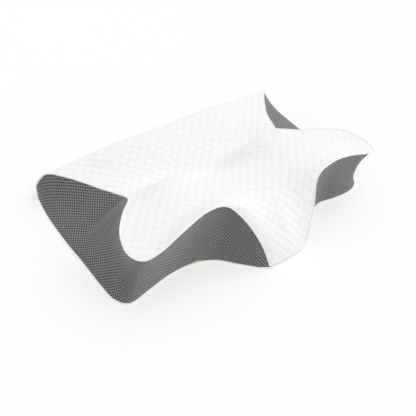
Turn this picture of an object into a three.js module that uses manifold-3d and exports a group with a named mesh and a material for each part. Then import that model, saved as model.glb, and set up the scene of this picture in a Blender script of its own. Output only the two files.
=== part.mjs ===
// Butterfly-shaped cervical contour pillow: a moulded memory-foam core in a thin jersey liner,
// inside a zip-off cover with a quilted knit top, mesh side panels, piping and a flat base.
// Millimetres, +Z up. +X is the long way (left to right), -Y is the front (the neck lobe).
// The origin is on the floor, at the centre of the bounding box.
import * as THREE from 'three';
import { mergeVertices } from 'three/addons/utils/BufferGeometryUtils.js';
import Module from 'manifold-3d';

// ---------------------------------------------------------------- driving dimensions
const BACK_Y = 191.5;            // flat back face of the cover
const FRONT_Y = -196.5;          // tip of the neck lobe at the floor
const BASE_HALF_WIDTH = 321;     // straight sides of the base
const WING_HALF_WIDTH = 313;     // seam at the wing tips
const NOTCH_HALF_WIDTH = 207;    // seam at the arm notches behind the wings
const LOBE_HALF_WIDTH = 44;      // where the two side seams meet the floor at the front
const BACK_SEAM_X = 307;         // and where they meet it at the back
const SHOULDER_HEIGHT = 123;     // highest point of the seam, beside the neck
const WING_HEIGHT = 92;          // seam at the wing tips
const NECK_HEIGHT = 102;         // centre of the neck roll
const HOLLOW_HEIGHT = 52;        // floor of the head hollow
const BACK_ROLL_HEIGHT = 75;     // top of the back roll
const PANEL_FLOOR = 3.4;         // lower edge of the side panels, just above the rim

const COVER_THICK = 3;           // quilted knit and 3-D mesh
const LINER_OFFSET = 5;          // slack between cover face and liner
const LINER_THICK = 0.8;
const CORE_OFFSET = 7;         // cover face to foam
const GAP = 0.3;                 // clearance between pieces that touch
const PIPING_RADIUS = 1.6;
const SEAM_TRIM = 3.6;           // from the seam line back to the cut edge of a panel
const RIM_WIDTH = 3;
const RIM_HEIGHT = 3;
const BASE_THICK = 2.4;
const LINER_BASE_Z = 2.8;
const CORE_FLOOR_Z = 4.2;
const CORE_DROP = 0.8;           // extra slack above the foam

const ROWS_PER_STATION = 2;      // grid fineness along the seam
const TOP_COLUMNS = 16;          // grid columns from seam to seam
const SIDE_COLUMNS = 3;          // grid columns up each side panel

// ---------------------------------------------------------------- colours
const finish = (color, roughness, metalness = 0) =>
  new THREE.MeshStandardMaterial({ color, roughness, metalness, flatShading: true });
const QUILT = finish(0xf0f1f4, 0.9);
const MESH_GREY = finish(0x66686b, 0.85);
const WHITE_TRIM = finish(0xf7f7f8, 0.8);
const BASE_KNIT = finish(0xe9e9ec, 0.9);
const LINER_KNIT = finish(0xe4e2dc, 0.95);
const FOAM = finish(0xf4efe0, 0.95);
const ZIP_TAPE = finish(0xe6e6e9, 0.85);
const ZIP_COIL = finish(0xdedee2, 0.45);
const ZIP_METAL = finish(0xb9bbbf, 0.35, 0.9);

// ---------------------------------------------------------------- shape stations
// Each station is one cross row of the pillow, from the back base edge to the lobe tip.
// seam: x, y, z of the right-hand seam; mid: y, z on the centre line; crown: extra height
// half-way between them; base: x, y of the side panel's lower edge; pinch: how far the side
// panel is hollowed at half height.
const Y0 = BACK_Y;
const STATIONS = [
  { seam: [BACK_SEAM_X, Y0, PANEL_FLOOR], mid: [Y0, PANEL_FLOOR], crown: 0,
    base: [315.5, Y0 - 2.5], pinch: 0 },
  { seam: [308, Y0, 26], mid: [Y0, 28], crown: 0, base: [318, Y0 - 9], pinch: 0 },
  { seam: [286, Y0 - 13, 50], mid: [Y0 - 9, 58], crown: 4, base: [319, Y0 - 30], pinch: 0 },
  { seam: [252, Y0 - 52, 58], mid: [Y0 - 40, BACK_ROLL_HEIGHT], crown: 6,
    base: [320, Y0 - 68], pinch: 1 },
  { seam: [222, Y0 - 97, 58], mid: [Y0 - 88, 65], crown: 1, base: [320, Y0 - 113], pinch: 2 },
  { seam: [NOTCH_HALF_WIDTH, Y0 - 139, 64], mid: [Y0 - 136, HOLLOW_HEIGHT], crown: -3,
    base: [BASE_HALF_WIDTH, Y0 - 154], pinch: 3 },
  { seam: [222, Y0 - 172, 78], mid: [Y0 - 170, 60], crown: 21,
    base: [BASE_HALF_WIDTH, Y0 - 188], pinch: 6 },
  { seam: [259, Y0 - 203, 89], mid: [Y0 - 196, 77], crown: 14,
    base: [BASE_HALF_WIDTH, Y0 - 219], pinch: 10 },
  { seam: [296, Y0 - 241, 93], mid: [Y0 - 217, 88], crown: 12,
    base: [320, Y0 - 252], pinch: 13 },
  { seam: [WING_HALF_WIDTH, Y0 - 282, WING_HEIGHT], mid: [Y0 - 235, 94], crown: 12,
    base: [315, Y0 - 286], pinch: 14 },
  { seam: [301, Y0 - 312, 95], mid: [Y0 - 245, 97], crown: 10,
    base: [298, Y0 - 310], pinch: 10 },
  { seam: [266, Y0 - 318, 105], mid: [Y0 - 255, 99.5], crown: 6,
    base: [262, Y0 - 314], pinch: 6 },
  { seam: [215, Y0 - 311, 117], mid: [Y0 - 266, 101.3], crown: 2,
    base: [215, Y0 - 309], pinch: 5 },
  { seam: [161, Y0 - 306, SHOULDER_HEIGHT], mid: [Y0 - 282, NECK_HEIGHT], crown: -2,
    base: [165, Y0 - 307], pinch: 5 },
  { seam: [114, Y0 - 311, 114], mid: [Y0 - 308, 95.5], crown: -3,
    base: [128, Y0 - 323], pinch: 4 },
  { seam: [80, Y0 - 333, 86], mid: [Y0 - 338, 73], crown: -2,
    base: [97, Y0 - 351], pinch: 3 },
  { seam: [57, Y0 - 359, 47], mid: [Y0 - 366, 40], crown: 0,
    base: [68, Y0 - 374], pinch: 1 },
  { seam: [LOBE_HALF_WIDTH, Y0 - 383.5, PANEL_FLOOR], mid: [FRONT_Y, PANEL_FLOOR], crown: 0,
    base: [LOBE_HALF_WIDTH + 8, Y0 - 381], pinch: 0 },
];
const LAST = STATIONS.length - 1;

const spline = (points) => new THREE.CatmullRomCurve3(points, false, 'catmullrom', 0.5);
const seamLine = spline(STATIONS.map((s) => new THREE.Vector3(...s.seam)));
const midLine = spline(STATIONS.map((s) => new THREE.Vector3(0, ...s.mid)));
const baseLine = spline(STATIONS.map((s) => new THREE.Vector3(...s.base, PANEL_FLOOR)));
const shapeLine = spline(STATIONS.map((s) => new THREE.Vector3(s.crown, s.pinch, 0)));

function direction(line, t) {
  const step = 0.004;
  const before = line.getPoint(Math.max(0, t - step));
  const after = line.getPoint(Math.min(1, t + step));
  return after.sub(before).normalize();
}

// A point on the top, from seam (across = -1) over the centre line (0) to seam (across = 1).
function topPoint(rail, across) {
  const s = Math.abs(across);
  const easeY = s ** 3;
  const easeZ = s * s * (3 - 2 * s);
  const rise = rail.crown * Math.sin(Math.PI * s) ** 2;
  return new THREE.Vector3(
    rail.seam.x * across,
    rail.mid.y + (rail.seam.y - rail.mid.y) * easeY,
    rail.mid.z + (rail.seam.z - rail.mid.z) * easeZ + rise,
  );
}

// A point on the right-hand side panel, from the base (up = 0) to the seam (up = 1).
function sidePoint(rail, up) {
  const depth = rail.pinch * Math.sin(Math.PI * up);
  return rail.base.clone().lerp(rail.seam, up).addScaledVector(rail.inward, depth);
}

function keepBackFlat(rail, distance) {
  [rail.seam, rail.mid, rail.base].forEach((p) => p.setY(Math.min(p.y, BACK_Y - distance)));
}

const CORNER_MITER = 0.8;        // keeps the inner layers clear of the rounded back corners
// The three guide points of one cross row, and the directions that lead inwards from them.
function railAt(station) {
  const t = station / LAST;
  const shape = shapeLine.getPoint(t);
  const rail = {
    seam: seamLine.getPoint(t),
    mid: midLine.getPoint(t),
    base: baseLine.getPoint(t),
    crown: shape.x,
    pinch: shape.y,
  };
  keepBackFlat(rail, 0);
  const baseAlong = direction(baseLine, t);
  rail.inward = new THREE.Vector3(baseAlong.y, -baseAlong.x, 0).normalize();
  const midAlong = direction(midLine, t);
  rail.midNormal = new THREE.Vector3(0, midAlong.z, -midAlong.y);
  const seamAlong = direction(seamLine, t);
  const overTop = rail.seam.clone().sub(topPoint(rail, 0.95));
  const upSide = rail.seam.clone().sub(sidePoint(rail, 0.9));
  const topNormal = seamAlong.clone().cross(overTop).normalize();
  const sideNormal = upSide.cross(seamAlong).normalize();
  rail.seamMiter = topNormal.clone().add(sideNormal).divideScalar(1 + topNormal.dot(sideNormal));
  const onBackFace = rail.seam.y > BACK_Y - 0.5;
  if (onBackFace) rail.seamMiter.setX(Math.max(rail.seamMiter.x, CORNER_MITER));
  rail.ontoTop = seamAlong.clone().cross(topNormal);
  rail.ontoSide = sideNormal.clone().cross(seamAlong);
  return rail;
}

// The same row on a layer that lies a distance inside the cover face.
function insideRail(rail, distance) {
  const moved = {
    ...rail,
    seam: rail.seam.clone().addScaledVector(rail.seamMiter, -distance),
    mid: rail.mid.clone().addScaledVector(rail.midNormal, -distance),
    base: rail.base.clone().addScaledVector(rail.inward, distance),
  };
  keepBackFlat(moved, distance);
  return moved;
}

// ---------------------------------------------------------------- the master grid
// Each row is an arch: up the left side, over the top and down the right side. Every layer of
// the pillow is this grid moved inwards, so the layers nest without touching.
const BACK_ROWS = [0.15, 0.45, 0.86, 1.2];                   // close rows up the back face
const TIP_ROWS = [LAST - 0.65, LAST - 0.3, LAST - 0.12, LAST - 0.02];
const middleRows = [];
for (let k = 3; k <= (LAST - 1) * ROWS_PER_STATION; k += 1) middleRows.push(k / ROWS_PER_STATION);
const rails = [...BACK_ROWS, ...middleRows, ...TIP_ROWS].map(railAt);
const ROWS = rails.length - 1;
const COLUMNS = 2 * SIDE_COLUMNS + TOP_COLUMNS;
const SEAM_LEFT = SIDE_COLUMNS;
const SEAM_RIGHT = SIDE_COLUMNS + TOP_COLUMNS;
const mirrored = (p) => new THREE.Vector3(-p.x, p.y, p.z);

function archPoint(rail, column) {
  if (column <= SEAM_LEFT) return mirrored(sidePoint(rail, column / SIDE_COLUMNS));
  if (column >= SEAM_RIGHT) return sidePoint(rail, (COLUMNS - column) / SIDE_COLUMNS);
  return topPoint(rail, ((column - SEAM_LEFT) / TOP_COLUMNS) * 2 - 1);
}

// The master grid moved inwards; its two outer columns stand at the given height.
function layer(distance, floor) {
  return rails.map((rail) => {
    const moved = insideRail(rail, distance);
    moved.base.setZ(floor);
    const line = [];
    for (let column = 0; column <= COLUMNS; column += 1) {
      const p = archPoint(moved, column);
      line.push(p.setZ(Math.max(p.z, floor)));
    }
    return line;
  });
}

// ---------------------------------------------------------------- mesh helpers
function meshFrom(points, triangles) {
  const geometry = new THREE.BufferGeometry();
  const positions = points.flatMap((p) => [p.x, p.y, p.z]);
  geometry.setAttribute('position', new THREE.Float32BufferAttribute(positions, 3));
  geometry.setIndex(triangles.flat());
  geometry.computeVertexNormals();
  return geometry;
}

// A closed sheet with thickness: an outer grid, an inner grid and a wall round the border.
function sheet(outer, inner) {
  const rows = outer.length;
  const columns = outer[0].length;
  const points = [...outer.flat(), ...inner.flat()];
  const at = (row, column, side) => side * rows * columns + row * columns + column;
  const triangles = [];
  const quad = (a, b, c, d) => triangles.push([a, b, c], [a, c, d]);
  for (let i = 0; i < rows - 1; i += 1) {
    for (let j = 0; j < columns - 1; j += 1) {
      quad(at(i, j, 0), at(i + 1, j, 0), at(i + 1, j + 1, 0), at(i, j + 1, 0));
      quad(at(i, j, 1), at(i, j + 1, 1), at(i + 1, j + 1, 1), at(i + 1, j, 1));
    }
  }
  for (let j = 0; j < columns - 1; j += 1) {
    quad(at(0, j, 0), at(0, j + 1, 0), at(0, j + 1, 1), at(0, j, 1));
    quad(at(rows - 1, j + 1, 0), at(rows - 1, j, 0), at(rows - 1, j, 1), at(rows - 1, j + 1, 1));
  }
  for (let i = 0; i < rows - 1; i += 1) {
    quad(at(i + 1, 0, 0), at(i, 0, 0), at(i, 0, 1), at(i + 1, 0, 1));
    quad(at(i, columns - 1, 0), at(i + 1, columns - 1, 0), at(i + 1, columns - 1, 1), at(i, columns - 1, 1));
  }
  return meshFrom(points, triangles);
}

// A closed solid under an arch grid: flat underneath, with flat ends.
function solidUnder(arch) {
  const rows = arch.length;
  const columns = arch[0].length;
  const at = (row, column) => row * columns + column;
  const triangles = [];
  for (let i = 0; i < rows - 1; i += 1) {
    for (let j = 0; j < columns - 1; j += 1) {
      triangles.push([at(i, j), at(i + 1, j), at(i + 1, j + 1)], [at(i, j), at(i + 1, j + 1), at(i, j + 1)]);
    }
    const end = columns - 1;
    triangles.push([at(i, 0), at(i, end), at(i + 1, end)], [at(i, 0), at(i + 1, end), at(i + 1, 0)]);
  }
  for (let j = 1; j < columns - 1; j += 1) {
    triangles.push([at(0, 0), at(0, j), at(0, j + 1)]);
    triangles.push([at(rows - 1, 0), at(rows - 1, j + 1), at(rows - 1, j)]);
  }
  return meshFrom(arch.flat(), triangles);
}

// One panel cut from a layer. Its edges at the seams are moved back to make room for the cord.
function patch(source, [r0, r1], [c0, c1]) {
  return source.slice(r0, r1 + 1).map((line, k) => {
    const rail = rails[r0 + k];
    const cut = line.slice(c0, c1 + 1);
    const move = (index, vector) => {
      const moved = cut[index].clone().addScaledVector(vector, SEAM_TRIM);
      cut[index] = moved.setZ(Math.max(moved.z, PANEL_FLOOR));
    };
    if (c0 === SEAM_LEFT) move(0, mirrored(rail.ontoTop));
    if (c0 === SEAM_RIGHT) move(0, rail.ontoSide);
    if (c1 === SEAM_LEFT) move(cut.length - 1, mirrored(rail.ontoSide));
    if (c1 === SEAM_RIGHT) move(cut.length - 1, rail.ontoTop);
    return cut;
  });
}

const wasm = await Module();
wasm.setup();
function toManifold(geometry) {
  const bare = geometry.clone();
  bare.deleteAttribute('normal');
  bare.deleteAttribute('uv');
  const merged = mergeVertices(bare, 1e-4);
  return new wasm.Manifold(new wasm.Mesh({
    numProp: 3,
    vertProperties: Float32Array.from(merged.attributes.position.array),
    triVerts: Uint32Array.from(merged.index.array),
  }));
}

function fromManifold(solid) {
  const { vertProperties, triVerts } = solid.getMesh();
  const geometry = new THREE.BufferGeometry();
  geometry.setAttribute('position', new THREE.BufferAttribute(Float32Array.from(vertProperties), 3));
  geometry.setIndex(new THREE.BufferAttribute(Uint32Array.from(triVerts), 1));
  geometry.computeVertexNormals();
  return geometry;
}

const group = new THREE.Group();
function add(name, geometry, material, place = [0, 0, 0]) {
  const mesh = new THREE.Mesh(geometry, material);
  mesh.name = name;
  mesh.position.set(...place);
  group.add(mesh);
  return mesh;
}

// ---------------------------------------------------------------- base outline
const OUTLINE_STEPS = 2;         // outline points per station
const TIP_STEPS = 4;             // points on each half of the lobe's front edge

// The base outline moved inwards, from the back right corner round to the back left one.
function outlinePoints(distance) {
  const right = [[BACK_SEAM_X, BACK_Y - distance]];
  for (let k = 0; k <= LAST * OUTLINE_STEPS; k += 1) {
    const { base } = insideRail(railAt(k / OUTLINE_STEPS), distance);
    right.push([base.x, base.y]);
  }
  const tip = [];
  const cornerY = STATIONS[LAST].seam[1];
  for (let k = 0; k <= 2 * TIP_STEPS; k += 1) {
    const side = 1 - k / TIP_STEPS;
    const bulge = (cornerY - FRONT_Y) * (1 - side ** 2);
    tip.push([LOBE_HALF_WIDTH * side, cornerY - bulge + distance]);
  }
  const left = right.map(([x, y]) => [-x, y]).reverse();
  return [...right, ...tip, ...left].map(([x, y]) => new THREE.Vector2(x, y));
}

function plate(distance, thick) {
  const shape = new THREE.Shape(outlinePoints(distance));
  return new THREE.ExtrudeGeometry(shape, { depth: thick, bevelEnabled: false });
}

// ---------------------------------------------------------------- cushion layers
// The inner layers leave out the rows that crowd at the back corners, and the last row, which
// the floor would flatten.
const SKIPPED_ROWS = [2, 3, ROWS];
const innerLayer = (distance, floor) =>
  layer(distance, floor).filter((_, row) => !SKIPPED_ROWS.includes(row));

function buildCore() {
  const arch = innerLayer(CORE_OFFSET, CORE_FLOOR_Z + CORE_DROP);
  add('foam_core', solidUnder(arch), FOAM, [0, 0, -CORE_DROP]);
}

function buildLiner() {
  const outer = innerLayer(LINER_OFFSET, CORE_FLOOR_Z);
  const skin = sheet(outer, innerLayer(LINER_OFFSET + LINER_THICK, CORE_FLOOR_Z));
  add('liner_top', skin, LINER_KNIT);
  add('liner_base', plate(LINER_OFFSET + 1, LINER_THICK), LINER_KNIT, [0, 0, LINER_BASE_Z]);
}

const FIRST_TOP_ROW = 2;         // the back band and the zip lie below this row
const SIDE_ROWS = [0, ROWS];
function buildCoverPanels() {
  const outer = layer(0, PANEL_FLOOR);
  const inner = layer(COVER_THICK, PANEL_FLOOR);
  const panel = (rowRange, columnRange) =>
    sheet(patch(outer, rowRange, columnRange), patch(inner, rowRange, columnRange));
  add('cover_top_panel', panel([FIRST_TOP_ROW, ROWS], [SEAM_LEFT, SEAM_RIGHT]), QUILT);
  add('cover_side_left', panel(SIDE_ROWS, [0, SEAM_LEFT]), MESH_GREY);
  add('cover_side_right', panel(SIDE_ROWS, [SEAM_RIGHT, COLUMNS]), MESH_GREY);
}

function buildBase() {
  const cutter = plate(RIM_WIDTH, 3 * RIM_HEIGHT).translate(0, 0, -RIM_HEIGHT);
  const rim = toManifold(plate(0, RIM_HEIGHT)).subtract(toManifold(cutter));
  add('base_rim', fromManifold(rim), WHITE_TRIM);
  add('cover_base_panel', plate(RIM_WIDTH + GAP, BASE_THICK), BASE_KNIT);
}

// ---------------------------------------------------------------- piping on the side seams
const PIPING_SIDES = 8;
const PIPING_SINK = 1.2;         // how far the cord's centre lies under the cover face
function circle(radius, sides) {
  const points = [];
  for (let k = 0; k < sides; k += 1) {
    const angle = (2 * Math.PI * k) / sides;
    points.push([radius * Math.cos(angle), radius * Math.sin(angle)]);
  }
  return points;
}

function buildPiping() {
  const centres = rails.map((rail) => {
    const depth = rail.seamMiter.clone().normalize().multiplyScalar(-PIPING_SINK);
    return rail.seam.clone().add(depth);
  });
  const above = centres.filter((p) => p.z > PANEL_FLOOR + PIPING_RADIUS);
  const section = new THREE.Shape(circle(PIPING_RADIUS, PIPING_SIDES).map((p) => new THREE.Vector2(...p)));
  const cord = (points) => new THREE.ExtrudeGeometry(section, {
    steps: ROWS * 2,
    bevelEnabled: false,
    extrudePath: new THREE.CatmullRomCurve3(points, false, 'centripetal'),
  });
  add('piping_left', cord(above.map(mirrored)), WHITE_TRIM);
  add('piping_right', cord(above), WHITE_TRIM);
}

// ---------------------------------------------------------------- back band and zip
const BAND_HALF = 303;
const BAND_TOP = 20.6;
const ZIP_Z = 15;                // height of the zip's centre line
const ZIP_HALF = 228;            // half of the slot in the band
const ZIP_SLOT_Z = 9;            // bottom of the slot
const TAPE_HALF = ZIP_HALF - 0.5;
const TAPE_SPLIT = 0.7;          // half of the gap between the two chains
const TAPE_THICK = 0.8;
const TAPE_FACE = BACK_Y - 1.8;
const COIL_HALF = 219.5;
const COIL_WIDTH = 2.4;
const COIL_BOTTOM = BACK_Y - 1.5;
const COIL_THICK = 1.6;
const STOP_LENGTH = 3;

function block(size) {
  return new THREE.BoxGeometry(...size);
}

function buildBand() {
  const shape = new THREE.Shape([
    [-BAND_HALF, PANEL_FLOOR], [BAND_HALF, PANEL_FLOOR], [BAND_HALF, BAND_TOP],
    [ZIP_HALF, BAND_TOP], [ZIP_HALF, ZIP_SLOT_Z], [-ZIP_HALF, ZIP_SLOT_Z],
    [-ZIP_HALF, BAND_TOP], [-BAND_HALF, BAND_TOP],
  ].map(([x, z]) => new THREE.Vector2(x, z)));
  const strip = new THREE.ExtrudeGeometry(shape, { depth: COVER_THICK, bevelEnabled: false });
  strip.rotateX(Math.PI / 2);
  add('cover_back_band', strip, QUILT, [0, BACK_Y, 0]);
}

function buildZipChain() {
  const rows = [['lower', -1, ZIP_SLOT_Z + GAP], ['upper', 1, BAND_TOP - 0.1]];
  rows.forEach(([side, sign, far]) => {
    const near = ZIP_Z + sign * TAPE_SPLIT;
    const tapeHeight = Math.abs(far - near);
    add(`zip_tape_${side}`, block([2 * TAPE_HALF, TAPE_THICK, tapeHeight]), ZIP_TAPE,
      [0, TAPE_FACE - TAPE_THICK / 2, (near + far) / 2]);
    const coilY = COIL_BOTTOM + COIL_THICK / 2;
    const coilZ = near + (sign * COIL_WIDTH) / 2;
    add(`zip_coil_${side}`, block([2 * COIL_HALF, COIL_THICK, COIL_WIDTH]), ZIP_COIL, [0, coilY, coilZ]);
    add(`zip_top_stop_${side}`, block([STOP_LENGTH, COIL_THICK, COIL_WIDTH]), ZIP_METAL,
      [-(COIL_HALF + GAP + STOP_LENGTH / 2), coilY, coilZ]);
  });
  add('zip_bottom_stop', block([STOP_LENGTH, COIL_THICK, 2 * (TAPE_SPLIT + COIL_WIDTH)]), ZIP_METAL,
    [COIL_HALF + GAP + STOP_LENGTH / 2, COIL_BOTTOM + COIL_THICK / 2, ZIP_Z]);
}

// ---------------------------------------------------------------- zip slider and pull
const SLIDER_LENGTH = 11;
const SLIDER_X = -(COIL_HALF - SLIDER_LENGTH / 2 - 0.5);     // closed end of the zip
const SLIDER_HALF_HEIGHT = 4.3;
const FRONT_PLATE = [0.4, 1.5];  // inner and outer face, measured out from the back face
const FLANGE_Y = -1.4;
const FLANGE_THICK = 0.9;
const POST_HALF = 0.4;
const BACK_PLATE = [-3.9, -2.9];
const BACK_PLATE_HALF = 3;
const PIN_Y = 3.4;               // the pull's pin, measured out from the back face
const PIN_HALF = 0.55;
const BAIL_INSIDE = 3.4;
const BAIL_OUTSIDE = 4.3;
const PULL_LENGTH = 24;
const PULL_HALF_WIDTH = 3;
const PULL_HALF_THICK = 0.5;
const EYE_OUTER = 1.6;
const EYE_INNER = 1.1;
const EYE_SIDES = 16;

// An outline in (z, y) swept along x, centred on x = 0.
function sweepAlongX(zy, length) {
  const shape = new THREE.Shape(zy.map(([z, y]) => new THREE.Vector2(-z, y)));
  const solid = new THREE.ExtrudeGeometry(shape, { depth: length, bevelEnabled: false });
  solid.translate(0, 0, -length / 2);
  return solid.rotateY(Math.PI / 2);
}

function buildSlider() {
  const [inner, outer] = FRONT_PLATE;
  const [backLow, backHigh] = BACK_PLATE;
  const half = SLIDER_HALF_HEIGHT;
  const flange = half - FLANGE_THICK;
  const channel = sweepAlongX([
    [-half, FLANGE_Y], [-flange, FLANGE_Y], [-flange, inner], [-POST_HALF, inner],
    [-POST_HALF, backHigh], [-BACK_PLATE_HALF, backHigh], [-BACK_PLATE_HALF, backLow],
    [BACK_PLATE_HALF, backLow], [BACK_PLATE_HALF, backHigh], [POST_HALF, backHigh],
    [POST_HALF, inner], [flange, inner], [flange, FLANGE_Y], [half, FLANGE_Y],
    [half, outer], [-half, outer],
  ], SLIDER_LENGTH);
  const foot = outer - 0.2;
  const bail = sweepAlongX([
    [-BAIL_OUTSIDE, foot], [-BAIL_INSIDE, foot], [-BAIL_INSIDE, PIN_Y - PIN_HALF],
    [BAIL_INSIDE, PIN_Y - PIN_HALF], [BAIL_INSIDE, foot], [BAIL_OUTSIDE, foot],
    [BAIL_OUTSIDE, PIN_Y + PIN_HALF], [-BAIL_OUTSIDE, PIN_Y + PIN_HALF],
  ], 2 * PIN_HALF);
  const slider = toManifold(channel).add(toManifold(bail));
  add('zip_slider', fromManifold(slider), ZIP_METAL, [SLIDER_X, BACK_Y, ZIP_Z]);
}

function buildPull() {
  const root = Math.sqrt(EYE_OUTER ** 2 - PULL_HALF_THICK ** 2);
  const start = Math.atan2(PULL_HALF_THICK, -root);
  const points = [new THREE.Vector2(-PULL_LENGTH, PULL_HALF_THICK)];
  for (let k = 0; k <= EYE_SIDES; k += 1) {
    const angle = start - (2 * start * k) / EYE_SIDES;
    points.push(new THREE.Vector2(EYE_OUTER * Math.cos(angle), EYE_OUTER * Math.sin(angle)));
  }
  points.push(new THREE.Vector2(-PULL_LENGTH, -PULL_HALF_THICK));
  const shape = new THREE.Shape(points);
  shape.holes.push(new THREE.Path(circle(EYE_INNER, EYE_SIDES).map((p) => new THREE.Vector2(...p))));
  const tab = new THREE.ExtrudeGeometry(shape, { depth: 2 * PULL_HALF_WIDTH, bevelEnabled: false });
  add('zip_pull', tab, ZIP_METAL, [SLIDER_X, BACK_Y + PIN_Y, ZIP_Z - PULL_HALF_WIDTH]);
}

// ---------------------------------------------------------------- care label, left blank
const LABEL_SIZE = [26, 0.6, 15];
const LABEL_X = 262;
function buildLabel() {
  const [, thick, height] = LABEL_SIZE;
  add('care_label', block(LABEL_SIZE), WHITE_TRIM,
    [LABEL_X, BACK_Y + GAP + thick / 2, BAND_TOP - height / 2]);
}

buildCore();
buildLiner();
buildCoverPanels();
buildBase();
buildPiping();
buildBand();
buildZipChain();
buildSlider();
buildPull();
buildLabel();

export default group;
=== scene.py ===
"""Butterfly-shaped cervical contour pillow: quilted knit top, mesh sides, piping and a zip.

Lengths are metres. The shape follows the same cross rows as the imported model, which is a mirror
shape; the sewn cover then strays from it a little, as DRIFT says.
"""
import math

import bpy
import numpy as np
from mathutils import Matrix, Vector
from mathutils.kdtree import KDTree


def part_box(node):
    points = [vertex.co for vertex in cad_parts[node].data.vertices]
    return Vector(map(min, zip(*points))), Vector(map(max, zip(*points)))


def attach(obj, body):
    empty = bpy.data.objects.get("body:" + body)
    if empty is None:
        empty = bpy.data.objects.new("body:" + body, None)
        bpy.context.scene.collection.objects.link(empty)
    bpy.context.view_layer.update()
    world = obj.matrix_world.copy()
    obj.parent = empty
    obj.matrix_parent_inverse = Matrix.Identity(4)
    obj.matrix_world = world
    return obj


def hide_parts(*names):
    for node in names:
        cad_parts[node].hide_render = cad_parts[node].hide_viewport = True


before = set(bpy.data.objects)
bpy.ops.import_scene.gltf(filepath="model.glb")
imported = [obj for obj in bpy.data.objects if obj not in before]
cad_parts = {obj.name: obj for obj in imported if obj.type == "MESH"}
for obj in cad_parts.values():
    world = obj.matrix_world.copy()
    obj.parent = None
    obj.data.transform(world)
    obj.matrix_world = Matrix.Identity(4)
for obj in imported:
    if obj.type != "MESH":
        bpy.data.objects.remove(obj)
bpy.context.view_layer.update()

MM = 0.001
PILLOW = "pillow"

# ---------------------------------------------------------------- driving dimensions
RIM_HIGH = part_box("base_rim")[1]
BACK_Y = RIM_HIGH[1]
RIM_TOP = RIM_HIGH[2]
BAND_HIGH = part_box("cover_back_band")[1]
PIPING_RADIUS = 1.6 * MM
COVER_THICK = 2 * MM
QUILT_PITCH = 15.6 * MM          # across one quilted cell
QUILT_DIAGONAL = QUILT_PITCH * math.sqrt(2)
QUILT_PUFF = 1.0 * MM            # how far the middle of a cell stands out
PIPING_SINK = 0.7 * MM           # how far the piping's middle lies under the seam line
TOP_FALL = 0.9 * MM              # how far the panels dip where they meet the piping
TOP_FALL_WIDTH = 5 * MM
SIDE_FALL = 1.0 * MM
SIDE_FALL_WIDTH = 4 * MM
RIM_INSET = 0.3 * MM             # the base piping stands a little proud of the side panels
BAND_REACH = 6.5 * MM            # the band's ends run on to the seam piping
MESH_PITCH_ALONG = 6.6 * MM      # between holes of one row; the next row is staggered by half
MESH_PITCH_UP = 6.2 * MM
NOTCH_STATION = 5.0              # the seam comes to a sharp inner corner at this row of the shape
NOTCH_REACH = 0.55               # in rows, to each side
NOTCH_DEPTH = 5 * MM
NOTCH_DIP = 3.5 * MM
SIDE_SHORT = 2.2 * MM            # the side panels end this far under the seam, behind the piping

# ---------------------------------------------------------------- shape stations
# One row per cross section, in millimetres, with y counted from the back face:
# seam x, y, z; centre line y, z; crown; base edge x, y; pinch of the side panel.
# The seam columns, but for the first rows at the back corner, are the result of a least-squares fit,
# rounded to millimetres. The other columns were set one by one.
PANEL_FLOOR = 3.4
STATIONS = np.array([
    [309, 0, PANEL_FLOOR, 0, PANEL_FLOOR, 0, 315.5, -2.5, 0],
    [310, 0, 26, 0, 28, 0, 318, -9, 0],
    [286, -13, 50, -9, 58, 4, 319, -30, 0],
    [252, -52, 58, -40, 75, 6, 320, -68, 1],
    [222, -97, 58, -88, 65, 1, 320, -113, 2],
    [207, -139, 64, -136, 52, -3, 321, -154, 3],
    [222, -172, 78, -170, 60, 21, 321, -188, 6],
    [259, -203, 89, -196, 77, 14, 321, -219, 10],
    [296, -241, 93, -217, 88, 12, 320, -252, 13],
    [313, -282, 92, -235, 94, 12, 315, -286, 14],
    [301, -312, 95, -245, 97, 10, 298, -310, 10],
    [266, -318, 105, -255, 99.5, 6, 262, -314, 6],
    [215, -311, 117, -266, 101.3, 2, 215, -309, 5],
    [161, -306, 123, -282, 102, -2, 165, -307, 5],
    [114, -311, 114, -308, 95.5, -3, 128, -323, 4],
    [80, -333, 86, -338, 73, -2, 97, -351, 3],
    [57, -359, 47, -366, 40, 0, 68, -374, 1],
    [44, -383.5, PANEL_FLOOR, -388, PANEL_FLOOR, 0, 52, -381, 0],
])
LAST = len(STATIONS) - 1
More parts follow.
